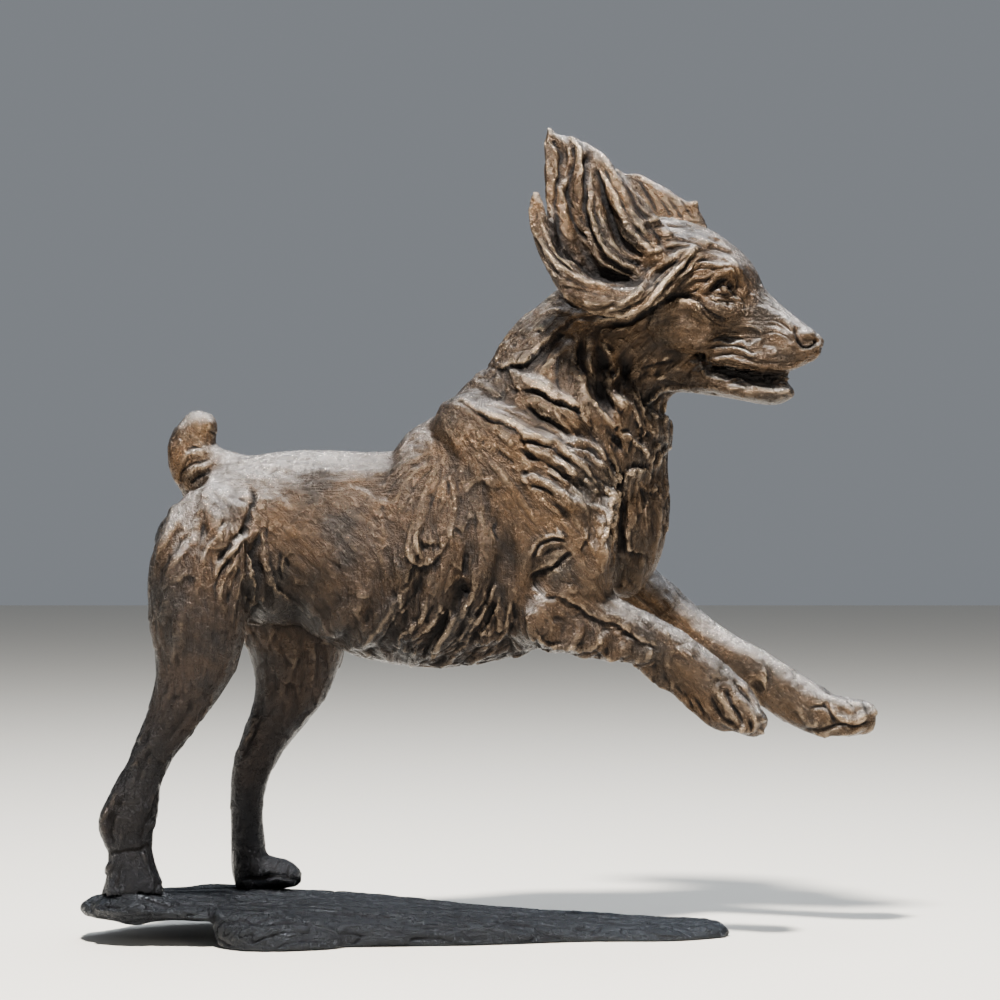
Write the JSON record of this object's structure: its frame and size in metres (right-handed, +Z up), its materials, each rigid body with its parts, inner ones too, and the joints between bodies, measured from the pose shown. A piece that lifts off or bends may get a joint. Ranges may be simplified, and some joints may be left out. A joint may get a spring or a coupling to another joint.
{
  "type": "dog statue",
  "caption": "Life-size cast bronze spaniel caught in mid-leap, ears and forelegs flying, its hind paws standing on a low irregular ground plate.",
  "frame": {"origin": "on the flat underside of the ground plate, below the middle of the figure's length and width", "axes": "+X the way the dog leaps, +Z up, the dog's own right side towards -Y"},
  "size_m": [0.7969, 0.2336, 0.7994],
  "materials": {
    "brown_bronze": "brown patinated cast bronze, satin on the raised forms and dull in the hollows",
    "dark_bronze": "blue-black patinated cast bronze, dull"
  },
  "bodies": {
    "root": {"dog": "brown_bronze", "ground_base": "dark_bronze"}
  },
  "joints": []
}
